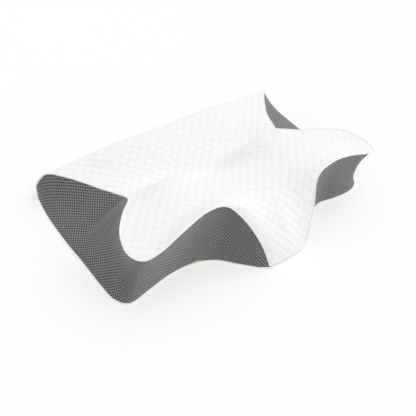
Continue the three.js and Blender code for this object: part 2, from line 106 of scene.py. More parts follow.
# How far the sewn cover strays from the mirror shape, in millimetres, for the same rows: the seam's
# x (outward), y and z, then the base edge's x and y, then the side panel's pinch. All but the pinch
# come from the same fit, rounded, with some rows changed. "mean" is the mirror shape itself.
DRIFT = {
    "left": np.array([
        [-8, -5, 0, -16, -7, 0], [-8, -5, 1, -13, -6, 0], [0, -1, 0, -8, -5, 0],
        [4, -2, -3, -2, -2, 0], [6, -4, -2, 3, 0, 0], [3, -4, 0, 5, 0, 0],
        [-1, 1, 3, 6, -1, 0], [-2, 1, 2, 8, -2, 0], [-4, 0, 2, 11, -4, 0],
        [-4, -1, 5, 15, -5, 0], [-3, 1, 4, 14, -3, 0], [-1, 3, 1, 5, 7, 0],
        [-1, 4, 2, 1, 10, 0], [-3, 7, 5, -1, 7, 0], [-4, 9, 7, -6, 7, 0],
        [-2, 5, 3, -5, 6, 0], [-1, 0, 0, -3, 2, 0], [0, -1, 0, 0, 1, 0],
    ], float),
    "right": np.array([
        [-4, 0, 0, -10, -5, 0], [-5, -1, -1, -7, -3, 0], [-1, 1, 0, -3, 0, 0],
        [-5, 3, 3, -3, 0, 0], [-6, 5, 2, -4, 0, 0], [-3, 5, 0, -5, 0, 2],
        [1, -1, -3, -6, 1, 6], [2, -1, -2, -8, 2, 14], [4, 0, -2, -9, 4, 21],
        [4, 1, -5, -9, 5, 21], [3, -1, -4, -10, 1, 10], [1, -3, -1, -5, -6, 2],
        [1, -4, -2, -1, -9, 0], [1, -7, -5, 1, -5, 0], [2, -9, -9, 1, -7, 0],
        [14, -14, -28, -3, -5, 0], [10, -13, -24, -3, -2, 0], [8, 0, 0, -2, -1, 0],
    ], float),
    "mean": np.zeros((LAST + 1, 6)),
}


def catmull_rom(values, stations):
    """Uniform Catmull-Rom through the rows of values, at fractional row numbers."""
    first = 2 * values[0] - values[1]
    last = 2 * values[-1] - values[-2]
    knots = np.vstack([first, values, last])
    index = np.clip(np.floor(stations).astype(int), 0, len(values) - 2)
    t = (stations - index)[:, None]
    p0, p1, p2, p3 = (knots[index + k] for k in range(4))
    slope1 = (p2 - p0) / 2
    slope2 = (p3 - p1) / 2
    rise = p2 - p1
    square = 3 * rise - 2 * slope1 - slope2
    cube = slope1 + slope2 - 2 * rise
    return p1 + t * slope1 + t**2 * square + t**3 * cube


def rails(stations, side="right"):
    """Seam, centre, crown, base and pinch of the rows at these station numbers, in metres.

    Both sides are given as right-hand ones, so x is positive on the left side too.
    """
    shape = STATIONS.astype(float)
    shape[:, [0, 1, 2, 6, 7, 8]] += DRIFT[side]
    row = catmull_rom(shape, np.asarray(stations, float)) * MM
    row[:, 2] = np.maximum(row[:, 2], PANEL_FLOOR * MM)
    near_notch = np.clip(1 - np.abs(stations - NOTCH_STATION) / NOTCH_REACH, 0, 1)
    row[:, 0] -= NOTCH_DEPTH * near_notch**2
    row[:, 2] -= NOTCH_DIP * near_notch
    row[:, [1, 3, 7]] = np.minimum(row[:, [1, 3, 7]], 0) + BACK_Y
    return {
        "seam": row[:, 0:3],
        "mid": np.column_stack([np.zeros(len(row)), row[:, 3:5]]),
        "crown": row[:, 5],
        "base": np.column_stack([row[:, 6:8], np.full(len(row), PANEL_FLOOR * MM)]),
        "pinch": row[:, 8],
    }


def normals_of(points):
    """Outward unit normals of a grid of points whose rows run from the back to the front."""
    along = np.gradient(points, axis=0)
    across = np.gradient(points, axis=1)
    normal = np.cross(along, across)
    return normal / np.maximum(np.linalg.norm(normal, axis=2, keepdims=True), 1e-12)


def top_grid(stations, columns, left="left", right="right"):
    """The cover's top face, from the left seam to the right one."""
    rail = rails(stations, right)
    across = np.linspace(-1, 1, columns)[None, :]
    s = np.abs(across)
    ease_y = s**3
    ease_z = s**2 * (3 - 2 * s)
    mid = rail["mid"]
    on_left = (across < 0)[:, :, None]
    seam = np.where(on_left, rails(stations, left)["seam"][:, None, :], rail["seam"][:, None, :])
    x = seam[:, :, 0] * across
    y = mid[:, 1:2] + (seam[:, :, 1] - mid[:, 1:2]) * ease_y
    z = mid[:, 2:3] + (seam[:, :, 2] - mid[:, 2:3]) * ease_z
    z = z + rail["crown"][:, None] * np.sin(np.pi * s) ** 2
    return np.stack([x, y, z], axis=2)


def side_grid(stations, steps, side):
    """One side panel as a right-hand one, from the base edge (first column) to just below the seam."""
    rail = rails(stations, side)
    base, seam = rail["base"], rail["seam"]
    along = np.gradient(base, axis=0)
    inward = np.column_stack([along[:, 1], -along[:, 0], np.zeros(len(base))])
    inward /= np.linalg.norm(inward, axis=1, keepdims=True)
    rise = np.linalg.norm(seam - base, axis=1)
    short = np.clip(SIDE_SHORT / np.maximum(rise, SIDE_SHORT), 0, 0.5)[:, None, None]
    up = np.linspace(0, 1, steps)[None, :, None] * (1 - short)
    points = base[:, None, :] * (1 - up) + seam[:, None, :] * up
    depth = rail["pinch"][:, None, None] * np.sin(np.pi * up)
    return points + inward[:, None, :] * depth


def distance_to(points, line, batch=4000):
    """The distance of each point of a grid to the nearest point of a line, worked out in batches."""
    flat = points.reshape(-1, 3)
    out = np.empty(len(flat))
    for start in range(0, len(flat), batch):
        part = flat[start:start + batch]
        gap = part[:, None, :] - line[None, :, :]
        out[start:start + batch] = np.sqrt((gap**2).sum(axis=2).min(axis=1))
    return out.reshape(points.shape[:2])


def rounded_fall(distance, width, depth):
    """A quarter-ellipse drop towards an edge."""
    inside = np.clip((width - distance) / width, 0, 1)
    return depth * (1 - np.sqrt(1 - inside**2))


def arc_length(points):
    """The length run along a line of points, at each of them."""
    steps = np.linalg.norm(np.diff(points, axis=0), axis=1)
    return np.concatenate([[0], np.cumsum(steps)])


def mirrored(points):
    """Right-hand points turned into left-hand ones."""
    return points * np.array([-1, 1, 1])


# ---------------------------------------------------------------- mesh helpers
def new_object(name, mesh, material):
    """An object of this mesh and material, which rides on the pillow."""
    obj = bpy.data.objects.new(name, mesh)
    bpy.context.scene.collection.objects.link(obj)
    mesh.materials.append(material)
    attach(obj, PILLOW)
    return obj


def mesh_from(name, points, faces, uvs=None):
    """A smooth-shaded mesh, with one UV place for each point where they are given."""
    mesh = bpy.data.meshes.new(name)
    mesh.from_pydata([tuple(p) for p in points], [], [tuple(f) for f in faces])
    if uvs is not None:
        layer = mesh.uv_layers.new(name="cloth")
        corner = np.empty(len(mesh.loops), int)
        mesh.loops.foreach_get("vertex_index", corner)
        layer.data.foreach_set("uv", np.asarray(uvs)[corner].ravel())
    mesh.shade_smooth()
    mesh.validate()
    mesh.update()
    return mesh


def grid_faces(rows, columns, offset=0, flip=False):
    """The quads of a grid whose points start at offset."""
    i, j = np.meshgrid(np.arange(rows - 1), np.arange(columns - 1), indexing="ij")
    a = (offset + i * columns + j).ravel()
    quad = np.column_stack([a, a + columns, a + columns + 1, a + 1])
    return quad[:, ::-1] if flip else quad


def shell(name, outer, inner, uv, flip=False):
    """A closed sheet: an outer grid, an inner grid and a wall round the border."""
    rows, columns = outer.shape[:2]
    count = rows * columns
    loop = (
        [(0, j) for j in range(columns)]
        + [(i, columns - 1) for i in range(1, rows)]
        + [(rows - 1, j) for j in range(columns - 2, -1, -1)]
        + [(i, 0) for i in range(rows - 2, 0, -1)]
    )
    border = [i * columns + j for i, j in loop]
    wall = []
    for k, a in enumerate(border):
        b = border[(k + 1) % len(border)]
        face = (a, b, b + count, a + count)
        wall.append(face[::-1] if flip else face)
    faces = np.vstack([
        grid_faces(rows, columns, 0, flip),
        grid_faces(rows, columns, count, not flip),
        np.array(wall),
    ])
    points = np.vstack([outer.reshape(-1, 3), inner.reshape(-1, 3)])
    flat_uv = uv.reshape(-1, 2)
    return mesh_from(name, points, faces, np.vstack([flat_uv, flat_uv]))


NEAR_UPRIGHT = 0.2               # sine of the path's tilt under which its side is taken from Y
TIP_LENGTH = 0.7                 # of an open end, in radii


def tube(name, path, radius, sides=12, closed=False):
    """A tube along a path, with pointed ends where it is open. Its UV is along and round it."""
    path = np.asarray(path)
    count = len(path)
    if closed:
        tangent = np.roll(path, -1, axis=0) - np.roll(path, 1, axis=0)
    else:
        tangent = np.gradient(path, axis=0)
    tangent /= np.linalg.norm(tangent, axis=1, keepdims=True)
    side = np.cross(tangent, [0, 0, 1.0])
    weak = np.linalg.norm(side, axis=1) < NEAR_UPRIGHT
    side[weak] = np.cross(tangent[weak], [0, 1.0, 0])
    side /= np.linalg.norm(side, axis=1, keepdims=True)
    for k in range(1, count):
        if np.dot(side[k], side[k - 1]) < 0:
            side[k] *= -1
    lift = np.cross(side, tangent)
    angle = np.linspace(0, 2 * np.pi, sides, endpoint=False)
    ring = side[:, None, :] * np.cos(angle)[None, :, None]
    ring = ring + lift[:, None, :] * np.sin(angle)[None, :, None]
    points = (path[:, None, :] + ring * radius).reshape(-1, 3)
    run = arc_length(path)
    uv = np.stack(np.meshgrid(run, angle * radius, indexing="ij"), axis=2).reshape(-1, 2)
    faces = []
    for i in range(count if closed else count - 1):
        k = (i + 1) % count
        for j in range(sides):
            m = (j + 1) % sides
            faces.append((i * sides + j, k * sides + j, k * sides + m, i * sides + m))
    if not closed:
        for i, sign in ((0, -1), (count - 1, 1)):
            points = np.vstack([points, path[i] + sign * tangent[i] * radius * TIP_LENGTH])
            uv = np.vstack([uv, uv[i * sides]])
            tip = len(points) - 1
            for j in range(sides):
                m = (j + 1) % sides
                corner = (i * sides + j, i * sides + m, tip)
                faces.append(corner if sign < 0 else corner[::-1])
    return mesh_from(name, points, faces, uv)


# ---------------------------------------------------------------- material helpers
class Cloth:
    """A procedural material, with short calls for the nodes that its pattern needs."""

    def __init__(self, name, roughness, specular=0.3, sheen=0.0, metallic=0.0):
        self.material = bpy.data.materials.new(name)
        self.material.use_nodes = True
        self.tree = self.material.node_tree
        self.shader = self.tree.nodes["Principled BSDF"]
        self.shader.inputs["Roughness"].default_value = roughness
        self.shader.inputs["Specular IOR Level"].default_value = specular
        self.shader.inputs["Sheen Weight"].default_value = sheen
        self.shader.inputs["Metallic"].default_value = metallic
        self.coords = self.tree.nodes.new("ShaderNodeTexCoord")
        self.normal = None

    def link(self, source, target):
        self.tree.links.new(source, target)

    def put(self, value, socket):
        """Links a socket, or sets a constant."""
        if isinstance(value, bpy.types.NodeSocket):
            self.link(value, socket)
        else:
            socket.default_value = value

    def math(self, operation, a, b=0.0, clamp=False):
        node = self.tree.nodes.new("ShaderNodeMath")
        node.operation = operation
        node.use_clamp = clamp
        self.put(a, node.inputs[0])
        self.put(b, node.inputs[1])
        return node.outputs[0]

    def uv(self):
        """The two lengths along the cloth, in metres."""
        node = self.tree.nodes.new("ShaderNodeSeparateXYZ")
        self.link(self.coords.outputs["UV"], node.inputs[0])
        return node.outputs["X"], node.outputs["Y"]

    def noise(self, scale, detail=3.0, stretch=(1, 1, 1)):
        """Soft unevenness from 0 to 1."""
        mapping = self.tree.nodes.new("ShaderNodeMapping")
        mapping.inputs["Scale"].default_value = stretch
        self.link(self.coords.outputs["Object"], mapping.inputs["Vector"])
        node = self.tree.nodes.new("ShaderNodeTexNoise")
        node.inputs["Scale"].default_value = scale
        node.inputs["Detail"].default_value = detail
        self.link(mapping.outputs[0], node.inputs["Vector"])
        return node.outputs["Fac"]

    def cells(self, scale):
        """The distance to the nearest of scattered points."""
        node = self.tree.nodes.new("ShaderNodeTexVoronoi")
        node.inputs["Scale"].default_value = scale
        self.link(self.coords.outputs["Object"], node.inputs["Vector"])
        return node.outputs["Distance"]

    def wave(self, value, pitch, phase=0.0):
        """A sine from 0 to 1 along value, with this pitch."""
        turn = self.math("MULTIPLY", value, 2 * math.pi / pitch)
        sine = self.math("SINE", self.math("ADD", turn, phase))
        return self.math("MULTIPLY", self.math("ADD", sine, 1.0), 0.5)

    def mix(self, factor, low, high):
        """A colour between low, at 0, and high, at 1."""
        node = self.tree.nodes.new("ShaderNodeMix")
        node.data_type = "RGBA"
        self.put(factor, node.inputs[0])
        self.put(low, node.inputs[6])
        self.put(high, node.inputs[7])
        return node.outputs[2]

    def colour(self, value):
        self.put(value, self.shader.inputs["Base Color"])

    def bump(self, height, depth, strength=1.0):
        """Adds relief on top of the relief made so far."""
        node = self.tree.nodes.new("ShaderNodeBump")
        node.inputs["Distance"].default_value = depth
        node.inputs["Strength"].default_value = strength
        self.put(height, node.inputs["Height"])
        if self.normal is not None:
            self.link(self.normal, node.inputs["Normal"])
        self.normal = node.outputs[0]
        self.link(self.normal, self.shader.inputs["Normal"])


def rgb(red, green, blue):
    """An opaque colour."""
    return (red, green, blue, 1.0)


KNIT_PITCH_U = 1.3 * MM
KNIT_PITCH_V = 1.7 * MM
KNIT_SHARE = 0.12                # how much of the knit's own tone shows
STITCH_SHARPNESS = 3.0


def quilted_knit():
    """White jacquard knit, quilted along two families of diagonal stitch lines."""
    cloth = Cloth("quilted_knit", 0.92, 0.2, sheen=0.25)
    u, v = cloth.uv()
    ways = [cloth.math("ADD", u, v), cloth.math("SUBTRACT", u, v)]
    grooves = []
    for way in ways:
        turn = cloth.math("MULTIPLY", way, math.pi / QUILT_DIAGONAL)
        across = cloth.math("ABSOLUTE", cloth.math("SINE", turn))
        grooves.append(cloth.math("MULTIPLY", across, STITCH_SHARPNESS, clamp=True))
    open_cell = cloth.math("MULTIPLY", grooves[0], grooves[1])
    knit = cloth.math("MULTIPLY", cloth.wave(u, KNIT_PITCH_U), cloth.wave(v, KNIT_PITCH_V))
    patch = cloth.noise(9.0, 3.0)
    tone = cloth.mix(patch, rgb(0.895, 0.897, 0.906), rgb(0.915, 0.917, 0.924))
    # The stitch grooves are painted a darker white: painted shade in the grooves, on top of the real
    # relief.
    shaded = cloth.mix(open_cell, rgb(0.86, 0.865, 0.882), tone)
    knit_tone = cloth.math("MULTIPLY", knit, KNIT_SHARE)
    cloth.colour(cloth.mix(knit_tone, shaded, rgb(0.82, 0.83, 0.85)))
    cloth.bump(knit, 0.25 * MM, 0.6)
    cloth.bump(open_cell, 0.35 * MM, 0.5)
    return cloth.material


HOLE_EDGE = 0.42                 # the height of the two crossed waves at which a hole begins
HOLE_SHARPNESS = 2.6
THREAD_PITCH = 0.9 * MM
WORN_SHARE = 0.35


def spacer_mesh():
    """Dark grey spacer mesh: staggered oval holes between raised cords."""
    cloth = Cloth("spacer_mesh", 0.8, 0.35, sheen=0.3)
    u, v = cloth.uv()
    pitch_u, pitch_v = MESH_PITCH_ALONG, MESH_PITCH_UP
    one = cloth.math("MULTIPLY", cloth.wave(u, pitch_u), cloth.wave(v, pitch_v))
    two = cloth.math("MULTIPLY", cloth.wave(u, pitch_u, math.pi), cloth.wave(v, pitch_v, math.pi))
    raised = cloth.math("SUBTRACT", cloth.math("ADD", one, two), HOLE_EDGE)
    hole = cloth.math("MULTIPLY", raised, HOLE_SHARPNESS, clamp=True)
    thread = cloth.wave(cloth.math("ADD", u, v), THREAD_PITCH)
    cord = cloth.mix(thread, rgb(0.185, 0.18, 0.182), rgb(0.31, 0.303, 0.306))
    worn = cloth.noise(14.0, 2.0)
    cord = cloth.mix(cloth.math("MULTIPLY", worn, WORN_SHARE), cord, rgb(0.155, 0.151, 0.153))
    # The holes are painted nearly black: painted shade inside the openings, which the sheet does not
    # really have.
    cloth.colour(cloth.mix(hole, cord, rgb(0.010, 0.0095, 0.010)))
    cloth.bump(cloth.math("SUBTRACT", 1.0, hole), 0.9 * MM, 0.8)
    cloth.bump(thread, 0.15 * MM, 0.5)
    return cloth.material


def woven_trim(name, light, dark, pitch=1.1 * MM):
    """Twill-woven piping, with its ribs running slantwise."""
    cloth = Cloth(name, 0.7, 0.35, sheen=0.15)
    u, v = cloth.uv()
    rib = cloth.wave(cloth.math("ADD", u, cloth.math("MULTIPLY", v, 0.8)), pitch)
    cloth.colour(cloth.mix(cloth.math("MULTIPLY", rib, 0.6), light, dark))
    cloth.bump(rib, 0.2 * MM, 0.6)
    return cloth.material


def solid_weave(name, light, dark, scale, roughness=0.9, sheen=0.1):
    """Plain weave that needs no UV: bands crossed along the object's axes, with a little unevenness.

    scale is the weave's phase in radians per metre, so its pitch is 2 pi / scale.
    """
    cloth = Cloth(name, roughness, 0.25, sheen=sheen)
    space = cloth.tree.nodes.new("ShaderNodeSeparateXYZ")
    cloth.link(cloth.coords.outputs["Object"], space.inputs[0])
    x, y, z = (space.outputs[k] for k in range(3))
    pitch = 2 * math.pi / scale
    warp = cloth.wave(x, pitch)
    weft = cloth.wave(cloth.math("ADD", y, z), pitch)
    weave = cloth.math("MULTIPLY", warp, weft)
    uneven = cloth.noise(30.0, 2.0)
    woven = cloth.math("MULTIPLY", weave, 0.6)
    blend = cloth.math("ADD", woven, cloth.math("MULTIPLY", uneven, 0.4))
    cloth.colour(cloth.mix(blend, light, dark))
    cloth.bump(weave, 0.2 * MM, 0.5)
    return cloth.material


PORE_RADIUS = 0.22               # of the distance between pores


def foam_skin():
    """Cream moulded foam with fine open pores."""
    cloth = Cloth("moulded_foam", 0.95, 0.2)
    pores = cloth.cells(700.0)
    cloud = cloth.noise(18.0, 4.0)
    tone = cloth.mix(cloud, rgb(0.86, 0.80, 0.66), rgb(0.91, 0.87, 0.76))
    shaded_pore = cloth.math("LESS_THAN", pores, PORE_RADIUS)
    # The pores are painted a darker tan: painted shade inside them.
    cloth.colour(cloth.mix(shaded_pore, tone, rgb(0.70, 0.63, 0.49)))
    cloth.bump(pores, 0.4 * MM, 0.5)
    return cloth.material


def nickel():
    """Nickel-plated zinc, with fine brushing and slightly duller patches."""
    metal = Cloth("nickel_plate", 0.28, 0.5, metallic=1.0)
    dull = metal.noise(260.0, 3.0, (1, 6, 6))
    metal.colour(metal.mix(dull, rgb(0.63, 0.64, 0.66), rgb(0.74, 0.75, 0.77)))
    metal.bump(dull, 0.05 * MM, 0.3)
    return metal.material


def nylon():
    """Smooth off-white nylon for the zip's coils."""
    plastic = Cloth("nylon_coil", 0.38, 0.5)
    cloud = plastic.noise(120.0, 2.0)
    plastic.colour(plastic.mix(cloud, rgb(0.74, 0.74, 0.77), rgb(0.80, 0.80, 0.82)))
    plastic.bump(cloud, 0.08 * MM, 0.3)
    return plastic.material


FLOOR_GLOW = 0.55                # keeps the shadows on the floor faint


def plain_floor():
    """A pale, matt studio floor that glows a little."""
    floor = Cloth("studio_floor", 0.9, 0.1)
    soft = floor.noise(1.2, 2.0)
    floor.colour(floor.mix(soft, rgb(0.41, 0.411, 0.412), rgb(0.43, 0.431, 0.432)))
    floor.shader.inputs["Emission Color"].default_value = rgb(0.99, 0.995, 1.0)
    floor.shader.inputs["Emission Strength"].default_value = FLOOR_GLOW
    return floor.material


QUILT = quilted_knit()
MESH = spacer_mesh()
TRIM = woven_trim("woven_piping", rgb(0.96, 0.96, 0.96), rgb(0.88, 0.88, 0.89))
ZIP_TAPE = solid_weave("zip_tape_weave", rgb(0.80, 0.80, 0.82), rgb(0.68, 0.68, 0.71), 5000.0)
BASE_KNIT = solid_weave("base_knit", rgb(0.84, 0.84, 0.86), rgb(0.74, 0.74, 0.77), 2600.0)
LINER = solid_weave("liner_jersey", rgb(0.84, 0.83, 0.80), rgb(0.74, 0.73, 0.70), 4200.0)
LABEL = solid_weave("label_satin", rgb(0.92, 0.92, 0.93), rgb(0.85, 0.85, 0.87), 6000.0, 0.45, 0.3)
FOAM = foam_skin()
NICKEL = nickel()
NYLON = nylon()

# ---------------------------------------------------------------- cover: quilted top
TOP_LIP = BAND_HIGH[2] + 0.3 * MM    # height of the panel's lower edge, just above the back band
TOP_COLUMNS = 217
TOP_ROWS = 196
TOP_STOP = 0.02                  # the panel ends this many rows short of the front tip
ROW_STEP = 2.7 * MM              # about the length between the panel's rows
QUILT_FADE = 9 * MM              # the cells flatten over this width at the panel's edges
PUFF_FULLNESS = 0.55             # less than 1 makes the cells fuller and the stitch lines narrower
BACK_ROW = 2.0                   # the back face lies below this row of the shape
FINE = 3000                      # points on the lines that lengths are measured along


def even_stations(start, end, count):
    """Station numbers that step evenly along the centre line."""
    fine = np.linspace(start, end, 2000)
    run = arc_length(rails(fine)["mid"])
    return np.interp(np.linspace(0, run[-1], count), run, fine)


def cloth_lengths(stations, points):
    """How far each point lies along the cloth from the back, which sets out the quilting."""
    fine = np.linspace(0, LAST, FINE)
    mid = rails(fine)["mid"]
    run = arc_length(mid)
    on_top = fine >= BACK_ROW
    depth = -mid[on_top, 1]
    by_depth = np.interp(-points[:, :, 1], depth, run[on_top])
    start = np.interp(BACK_ROW, fine, run)
    edge_row = int(np.argmax(stations >= BACK_ROW))
    on_back = np.interp(stations, fine, run)[:, None] + (by_depth[edge_row] - start)[None, :]
    return np.where(stations[:, None] < BACK_ROW, on_back, by_depth)


def quilt_puff(u, v):
    """The height of the quilting, from 0 on a stitch line to 1 in the middle of a cell."""
    one = np.abs(np.sin(np.pi * (u + v) / QUILT_DIAGONAL))
    two = np.abs(np.sin(np.pi * (u - v) / QUILT_DIAGONAL))
    return (one * two) ** PUFF_FULLNESS


def build_quilted_top():
    """The white top panel, as a closed sheet with its quilted cells raised."""
    back_stations = np.linspace(0, 1, 200)
    start = np.interp(TOP_LIP, rails(back_stations)["mid"][:, 2], back_stations)
    stations = even_stations(start, LAST - TOP_STOP, TOP_ROWS)
    points = top_grid(stations, TOP_COLUMNS)
    points[0, :, 2] = np.maximum(points[0, :, 2], TOP_LIP)
    normals = normals_of(points)
    from_seam = distance_to(points, np.vstack([SEAMS["right"], mirrored(SEAMS["left"])]))
    u = points[:, :, 0]
    v = cloth_lengths(stations, points)
    rows = np.arange(TOP_ROWS)
    from_end = np.minimum(rows, TOP_ROWS - 1 - rows)[:, None] * ROW_STEP
    fade = np.clip(np.minimum(from_seam, from_end) / QUILT_FADE, 0, 1)
    lift = QUILT_PUFF * quilt_puff(u, v) * fade
    fall = rounded_fall(from_seam, TOP_FALL_WIDTH, TOP_FALL)
    outer = points + normals * (lift - fall)[:, :, None]
    inner = points - normals * (fall + COVER_THICK)[:, :, None]
    inner[:, :, 2] = np.maximum(inner[:, :, 2], PANEL_FLOOR * MM)
    mesh = shell("quilted_top", outer, inner, np.stack([u, v], axis=2))
    obj = new_object("quilted_top", mesh, QUILT)
    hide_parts("cover_top_panel")


# ---------------------------------------------------------------- cover: mesh sides and piping
SIDE_STEPS = 34
SIDE_ROWS = 300
SIDE_STOP = 0.04                 # the panels end this many rows short of the back and the front
EDGE_ROWS = 420                  # points on each side's seam piping and base edge


def build_sides():
    """The two grey mesh panels, as closed sheets."""
    stations = np.linspace(SIDE_STOP, LAST - SIDE_STOP, SIDE_ROWS)
    for side, flip in (("right", True), ("left", False)):
        points = side_grid(stations, SIDE_STEPS, side)
        normals = -normals_of(points)
        from_seam = distance_to(points, SEAMS[side])
        fall = rounded_fall(from_seam, SIDE_FALL_WIDTH, SIDE_FALL)
        outer = points - normals * fall[:, :, None]
        inner = outer - normals * COVER_THICK
        inner[:, :, 2] = np.maximum(inner[:, :, 2], RIM_TOP)
        run = arc_length(rails(stations, side)["base"])
        height = np.linalg.norm(np.diff(points, axis=1), axis=2).cumsum(axis=1)
        height = np.column_stack([np.zeros(len(points)), height])
        uv = np.stack([np.repeat(run[:, None], SIDE_STEPS, axis=1), height], axis=2)
        place = mirrored if side == "left" else np.array
        mesh = shell(f"mesh_side_{side}", place(outer), place(inner), uv, flip)
        obj = new_object(f"mesh_side_{side}", mesh, MESH)
        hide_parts(f"cover_side_{side}")


def build_piping():
    """The piping in both seams, sunk a little between the panels."""
    stations = np.linspace(0, LAST, EDGE_ROWS)
    for side in ("right", "left"):
        rail = rails(stations, side)
        inward = rail["mid"] - rail["seam"]
        inward[:, 2] = 0
        toward_base = rail["base"] - rail["seam"]
        sink = inward / np.linalg.norm(inward, axis=1, keepdims=True)
        sink += toward_base / np.maximum(np.linalg.norm(toward_base, axis=1, keepdims=True), MM)
        sink /= np.linalg.norm(sink, axis=1, keepdims=True)
        path = rail["seam"] + sink * PIPING_SINK
        path[:, 1] = np.minimum(path[:, 1], BACK_Y - PIPING_RADIUS + PIPING_SINK)
        path = path[path[:, 2] > RIM_TOP + PIPING_RADIUS]
        line = mirrored(path) if side == "left" else path
        name = f"seam_piping_{side}"
        obj = new_object(name, tube(name, line, PIPING_RADIUS), TRIM)
        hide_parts(f"piping_{side}")


# ---------------------------------------------------------------- cover: base and its piping
FRONT_SHARE = 0.9                # of the front tip's width, between the two sides' last points
FRONT_STEPS = 15
BACK_STEPS = 60
BACK_SHORT = 10 * MM             # the straight back edge starts this far inside the band's ends
FLOOR_CLEAR = 0.1 * MM           # the piping and the inner layers stay this far off the floor
SHEET_INSET = 2.6 * MM           # the base sheet ends inside the base piping
SHEET_CLEAR = 0.2 * MM


def base_outline(inset):
    """The closed edge of the base, right side first, this far inside the cover's own edge."""
    stations = np.linspace(0, LAST, EDGE_ROWS)
    edges = {}
    for side in ("right", "left"):
        edge = rails(stations, side)["base"][:, :2]
        along = np.gradient(edge, axis=0)
        inward = np.column_stack([along[:, 1], -along[:, 0]])
        inward /= np.linalg.norm(inward, axis=1, keepdims=True)
        edge = edge + inward * inset
        edge[:, 1] = np.minimum(edge[:, 1], BACK_Y - inset)
        edges[side] = edge
    rail = rails(stations)
    across = np.linspace(FRONT_SHARE, -FRONT_SHARE, FRONT_STEPS)
    seam_x, seam_y = rail["seam"][-1, :2]
    front_y = rail["mid"][-1, 1]
    bulge = (seam_y - front_y) * np.abs(across) ** 3
    front = np.column_stack([seam_x * across, front_y + bulge + inset])
    left = edges["left"][::-1] * np.array([-1, 1])
    half_back = BAND_HIGH[0] - BACK_SHORT
    back_x = np.linspace(-half_back, half_back, BACK_STEPS)
    back = np.column_stack([back_x, np.full(BACK_STEPS, BACK_Y - inset)])
    return np.vstack([edges["right"], front, left, back])


def build_base():
    """The piping round the base, and the flat sheet inside it."""
    rim = base_outline(RIM_INSET)
    path = np.column_stack([rim, np.full(len(rim), PIPING_RADIUS + FLOOR_CLEAR)])
    obj = new_object("base_piping", tube("base_piping", path, PIPING_RADIUS, closed=True), TRIM)
    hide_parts("base_rim")
    low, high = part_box("cover_base_panel")
    edge = base_outline(SHEET_INSET)
    count = len(edge)
    bottom = np.column_stack([edge, np.full(count, low[2] + SHEET_CLEAR)])
    top = np.column_stack([edge, np.full(count, high[2])])
    faces = [tuple(range(count)), tuple(reversed(range(count, 2 * count)))]
    faces += [(k, k + count, (k + 1) % count + count, (k + 1) % count) for k in range(count)]
    mesh = bpy.data.meshes.new("base_sheet")
    mesh.from_pydata([tuple(p) for p in np.vstack([bottom, top])], [], faces)
    mesh.validate()
    mesh.update()
    obj = new_object("base_sheet", mesh, BASE_KNIT)
    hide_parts("cover_base_panel")


# ---------------------------------------------------------------- what the cover hides
FIELD_ROWS = 170
FIELD_COLUMNS = 71
FIELD_STEPS = 12
FIELD_NEAR = 6                   # a point follows this many points of the field
INSIDE_HEIGHT = 40 * MM          # above this height, nothing is pulled inside the base's edge
RELAX_SHARE = 0.4
RELAX_TURNS = 2


def drift_field():
    """Points of the mirror shape's surface, in a search tree, and how far the cover strays at each."""
    stations = np.linspace(0, LAST, FIELD_ROWS)
    before = [top_grid(stations, FIELD_COLUMNS, "mean", "mean").reshape(-1, 3)]
    after = [top_grid(stations, FIELD_COLUMNS).reshape(-1, 3)]
    straight = side_grid(stations, FIELD_STEPS, "mean").reshape(-1, 3)
    for side in ("left", "right"):
        turned = mirrored if side == "left" else np.array
        before.append(turned(straight))
        after.append(turned(side_grid(stations, FIELD_STEPS, side).reshape(-1, 3)))
    before = np.vstack(before)
    tree = KDTree(len(before))
    for k, point in enumerate(before):
        tree.insert(point, k)
    tree.balance()
    return tree, np.vstack(after) - before


def follow_drift(mesh, weigh=None):
    """Moves a mesh's points with the cover near them, as far as weigh says."""
    for vertex in mesh.vertices:
        near = FIELD_TREE.find_n(vertex.co, FIELD_NEAR)
        share = np.array([1 / (gap + MM) for point, k, gap in near])
        moves = FIELD_MOVE[[k for point, k, gap in near]]
        move = (moves * share[:, None]).sum(axis=0) / share.sum()
        full = 1.0 if weigh is None else weigh(vertex.co)
        vertex.co += Vector(move * full)
        vertex.co.z = max(vertex.co.z, FLOOR_CLEAR)


def keep_inside_base(mesh, gap):
    """Pulls a mesh's lowest points in, where the cover's drift leaves them near or past its edge."""
    edge = base_outline(gap)
    inner = base_outline(gap + 1 * MM)
    for vertex in mesh.vertices:
        place = np.array(vertex.co[:2])
        k = int(np.argmin(((edge - place) ** 2).sum(axis=1)))
        outward = edge[k] - inner[k]
        over = float(np.dot(place - edge[k], outward) / np.linalg.norm(outward))
        if over > 0:
            share = max(0.0, 1 - vertex.co.z / INSIDE_HEIGHT)
            vertex.co.xy -= Vector(outward / np.linalg.norm(outward)) * over * share


def push_inward(mesh, inset):
    """Moves every point of a mesh inwards along its own normal."""
    normals = [vertex.normal.copy() for vertex in mesh.vertices]
    for vertex, normal in zip(mesh.vertices, normals):
        vertex.co -= normal * inset


def smoothed(name, material, levels, node, weigh=None, inset=0.0, base_gap=0.0):
    """A copy of a CAD solid that follows the cover's drift and stands for the solid.

    With levels it is relaxed and subdivided too.
    """
    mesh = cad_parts[node].data.copy()
    mesh.name = name
    push_inward(mesh, inset)
    follow_drift(mesh, weigh)
    if base_gap:
        keep_inside_base(mesh, base_gap)
    layer = mesh.uv_layers.new(name="cloth")
    for loop in mesh.loops:
        place = mesh.vertices[loop.vertex_index].co
        layer.data[loop.index].uv = (place.x, place.z)
    mesh.materials.clear()
    mesh.shade_smooth()
    obj = new_object(name, mesh, material)
    if levels:
        relax = obj.modifiers.new("relax", "SMOOTH")
        relax.factor = RELAX_SHARE
        relax.iterations = RELAX_TURNS
        fine = obj.modifiers.new("fine", "SUBSURF")
        fine.levels = levels
        fine.render_levels = levels
    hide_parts(node)
    return obj


